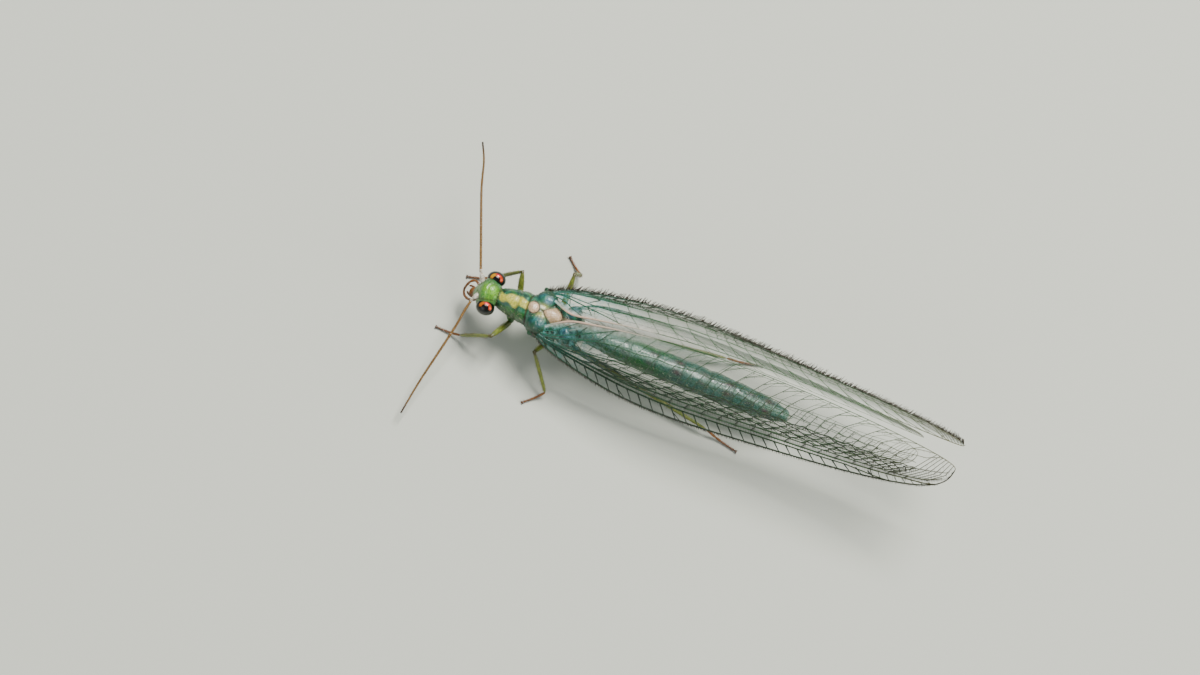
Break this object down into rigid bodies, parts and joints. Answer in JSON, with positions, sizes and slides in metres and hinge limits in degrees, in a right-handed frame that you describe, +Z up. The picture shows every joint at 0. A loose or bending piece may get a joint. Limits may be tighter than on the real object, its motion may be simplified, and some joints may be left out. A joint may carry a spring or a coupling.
{
  "type": "green lacewing",
  "caption": "Green lacewing at rest: slender green body, roof-folded veined wings, long feelers and splayed legs standing flat.",
  "frame": {"origin": "on the floor, under the middle of the whole animal's box", "axes": "+Y from head to wing tips, +X to the animal's left, +Z up"},
  "size_m": [0.0084, 0.0172, 0.0049],
  "materials": {
    "thorax_green": "glossy green cuticle with a yellow band along the collar",
    "body_green": "soft green cuticle with a pale line along the back",
    "eye": "metallic copper red compound eye",
    "feeler_brown": "ochre, ringed, darker at the tip",
    "leg_olive": "olive green cuticle",
    "foot_brown": "orange-brown cuticle",
    "wing": "clear membrane with dark green veins"
  },
  "bodies": {
    "root": {"head": "thorax_green", "eye_left": "eye", "eye_right": "eye", "mouthparts": "foot_brown", "antenna_left": "feeler_brown", "antenna_right": "feeler_brown", "prothorax": "thorax_green", "mesothorax": "thorax_green", "metathorax": "body_green", "abdomen": "body_green", "leg_front_left_femur": "leg_olive", "leg_front_left_tibia": "leg_olive", "leg_front_left_tarsus": "foot_brown", "leg_front_right_femur": "leg_olive", "leg_front_right_tibia": "leg_olive", "leg_front_right_tarsus": "foot_brown", "leg_middle_left_femur": "leg_olive", "leg_middle_left_tibia": "leg_olive", "leg_middle_left_tarsus": "foot_brown", "leg_middle_right_femur": "leg_olive", "leg_middle_right_tibia": "leg_olive", "leg_middle_right_tarsus": "foot_brown", "leg_hind_left_femur": "leg_olive", "leg_hind_left_tibia": "leg_olive", "leg_hind_left_tarsus": "foot_brown", "leg_hind_right_femur": "leg_olive", "leg_hind_right_tibia": "leg_olive", "leg_hind_right_tarsus": "foot_brown", "forewing_left": "wing", "forewing_right": "wing", "hindwing_left": "wing", "hindwing_right": "wing"}
  },
  "joints": []
}
